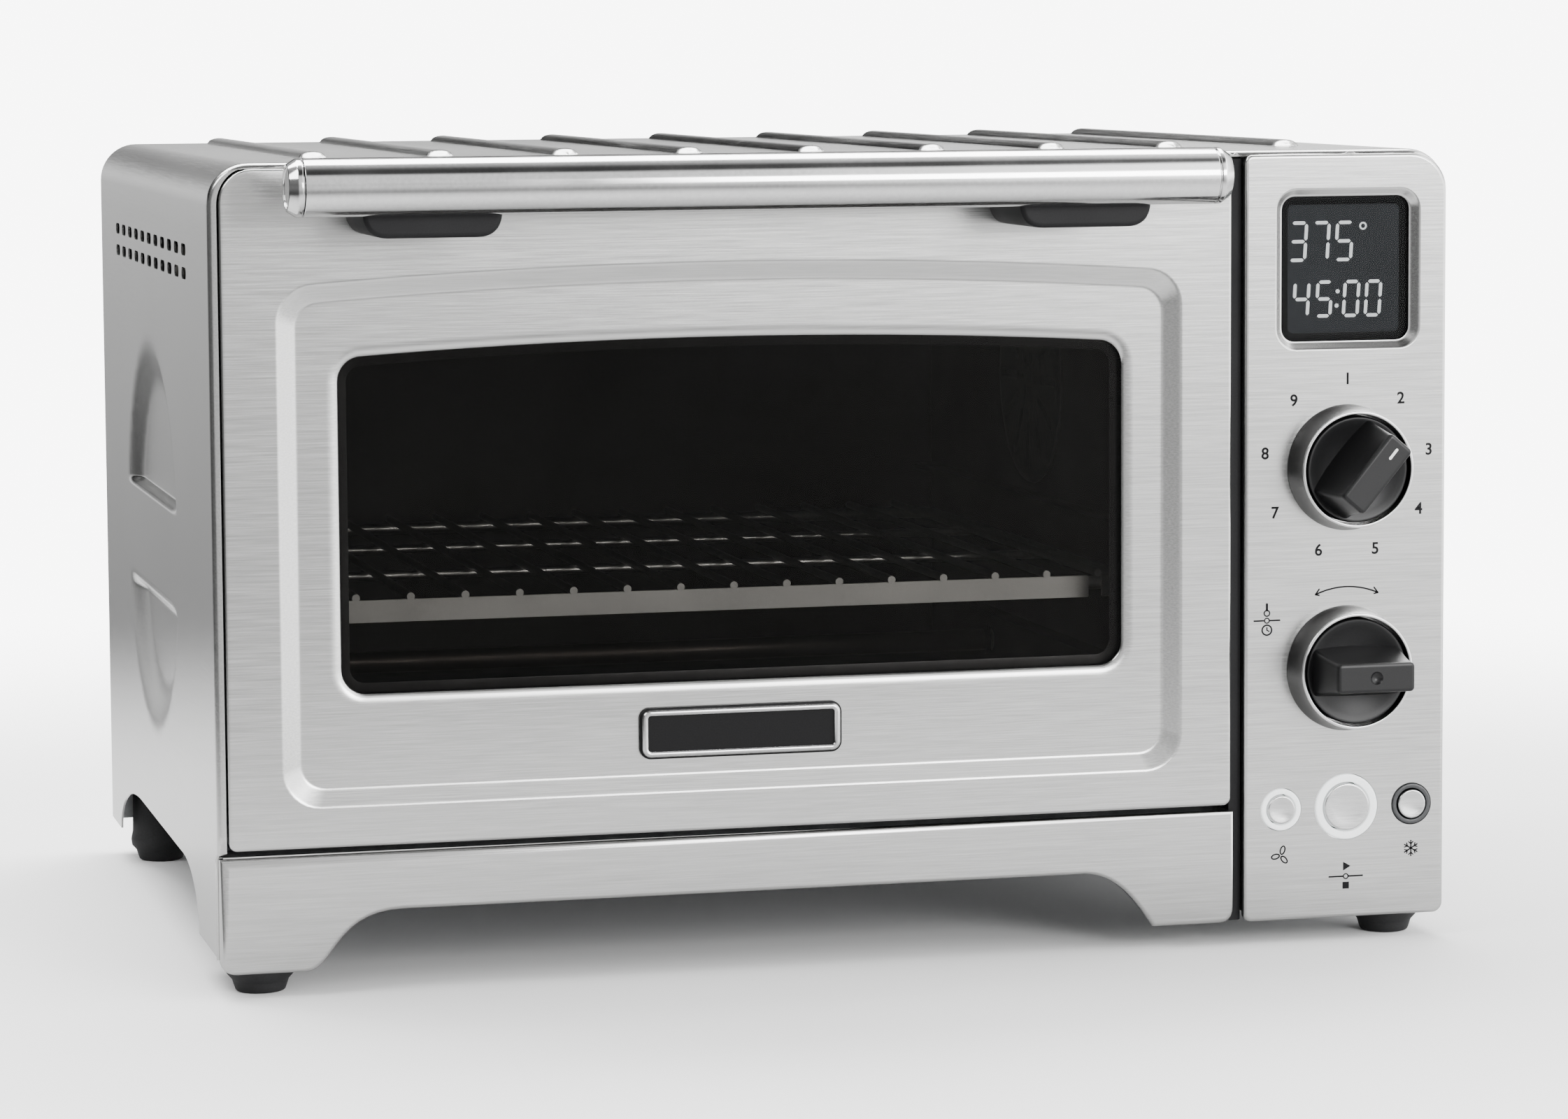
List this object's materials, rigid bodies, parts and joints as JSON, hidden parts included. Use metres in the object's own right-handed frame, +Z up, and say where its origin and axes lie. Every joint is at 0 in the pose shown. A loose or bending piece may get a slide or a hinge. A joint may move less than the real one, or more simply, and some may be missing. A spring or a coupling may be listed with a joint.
{
  "type": "toaster oven",
  "caption": "Countertop toaster oven with a drop-down glazed door, bar handle, wire rack, heating rods, side fan, rotary knobs and push buttons.",
  "frame": {"origin": "middle of the bounding box's footprint, on the plane under the feet", "axes": "+X to the user's right, +Z up, the door and the handle face -Y"},
  "size_m": [0.47, 0.3998, 0.3036],
  "materials": {
    "brushed_steel": "horizontal brushed grain",
    "polished_steel": "polished",
    "aluminised_steel": "satin aluminised sheet",
    "plated_wire": "bright plating",
    "heater_tube": "dull sheath with ceramic ends",
    "black_plastic": "fine satin moulding",
    "motor_steel": "laminated steel",
    "rubber": "matt",
    "door_glass": "clear dark tint",
    "display_glass": "smoked",
    "light_ring": "translucent white, lit",
    "circuit_board": "solder mask"
  },
  "bodies": {
    "cabinet": {"cabinet_wrapper": "brushed_steel", "base_panel": "brushed_steel", "control_panel": "brushed_steel", "knob_collar_upper": "polished_steel", "knob_collar_lower": "polished_steel", "back_panel": "aluminised_steel", "floor_pan": "aluminised_steel", "front_frame": "aluminised_steel", "cavity_liner": "aluminised_steel", "crumb_tray": "aluminised_steel", "fan_cover": "aluminised_steel", "fan_housing": "aluminised_steel", "thermostat_probe": "plated_wire", "hinge_bracket_left": "plated_wire", "hinge_bracket_right": "plated_wire", "back_screw_low_left": "plated_wire", "back_screw_low_right": "plated_wire", "back_screw_top_left": "plated_wire", "back_screw_top_right": "plated_wire", "heater_upper_front": "heater_tube", "heater_upper_rear": "heater_tube", "heater_lower_front": "heater_tube", "heater_lower_rear": "heater_tube", "divider_strip": "black_plastic", "button_ring_right": "black_plastic", "display_module": "black_plastic", "encoder_upper": "black_plastic", "encoder_lower": "black_plastic", "cord_gland": "black_plastic", "rear_spacer": "black_plastic", "fan_motor": "motor_steel", "foot_front_left": "rubber", "foot_front_right": "rubber", "foot_rear_left": "rubber", "foot_rear_right": "rubber", "display_window": "display_glass", "button_ring_left": "light_ring", "button_ring_middle": "light_ring", "control_board": "circuit_board", "power_board": "circuit_board"},
    "door": {"door_panel": "brushed_steel", "door_glass": "door_glass", "door_inner_glass": "door_glass", "door_inner_frame": "aluminised_steel", "name_plate": "black_plastic", "handle_bar": "polished_steel", "handle_cap_left": "polished_steel", "handle_cap_right": "polished_steel", "handle_bracket_left": "black_plastic", "handle_bracket_right": "black_plastic", "hinge_arm_left": "plated_wire", "hinge_arm_right": "plated_wire"},
    "rack": {"wire_rack": "plated_wire"},
    "fan": {"fan_wheel": "aluminised_steel"},
    "upper_knob": {"knob_upper": "black_plastic"},
    "lower_shaft": {"knob_shaft_lower": "plated_wire"},
    "lower_knob": {"knob_lower": "black_plastic"},
    "left_button": {"button_left": "brushed_steel"},
    "middle_button": {"button_middle": "brushed_steel"},
    "right_button": {"button_right": "brushed_steel"}
  },
  "joints": [
    {"name": "door_hinge", "type": "hinge", "parent": "cabinet", "child": "door", "pos_m": [-0.0409, -0.1396, 0.0655], "axis": [1, 0, 0], "range_deg": [0, 90]},
    {"name": "rack_slide", "type": "slide", "parent": "cabinet", "child": "rack", "axis": [0, -1, 0], "range_m": [0, 0.095]},
    {"name": "fan_spin", "type": "hinge", "parent": "cabinet", "child": "fan", "pos_m": [0.137, 0.03, 0.205], "axis": [1, 0, 0], "continuous": true},
    {"name": "upper_knob_turn", "type": "hinge", "parent": "cabinet", "child": "upper_knob", "pos_m": [0.1954, -0.16, 0.181], "axis": [0, 1, 0], "continuous": true},
    {"name": "lower_knob_turn", "type": "hinge", "parent": "cabinet", "child": "lower_shaft", "pos_m": [0.1954, -0.16, 0.1045], "axis": [0, 1, 0], "continuous": true},
    {"name": "lower_knob_push", "type": "slide", "parent": "lower_shaft", "child": "lower_knob", "axis": [0, 1, 0], "range_m": [0, 0.002], "stiffness_N_per_m": 600, "springref_m": -0.002},
    {"name": "left_button_press", "type": "slide", "parent": "cabinet", "child": "left_button", "axis": [0, 1, 0], "range_m": [0, 0.0015], "stiffness_N_per_m": 400, "springref_m": -0.001},
    {"name": "middle_button_press", "type": "slide", "parent": "cabinet", "child": "middle_button", "axis": [0, 1, 0], "range_m": [0, 0.0015], "stiffness_N_per_m": 400, "springref_m": -0.001},
    {"name": "right_button_press", "type": "slide", "parent": "cabinet", "child": "right_button", "axis": [0, 1, 0], "range_m": [0, 0.0015], "stiffness_N_per_m": 400, "springref_m": -0.001}
  ],
  "couplings": [
    {"joint": "rack_slide", "follows": "door_hinge", "m_per_rad": 0.06}
  ]
}
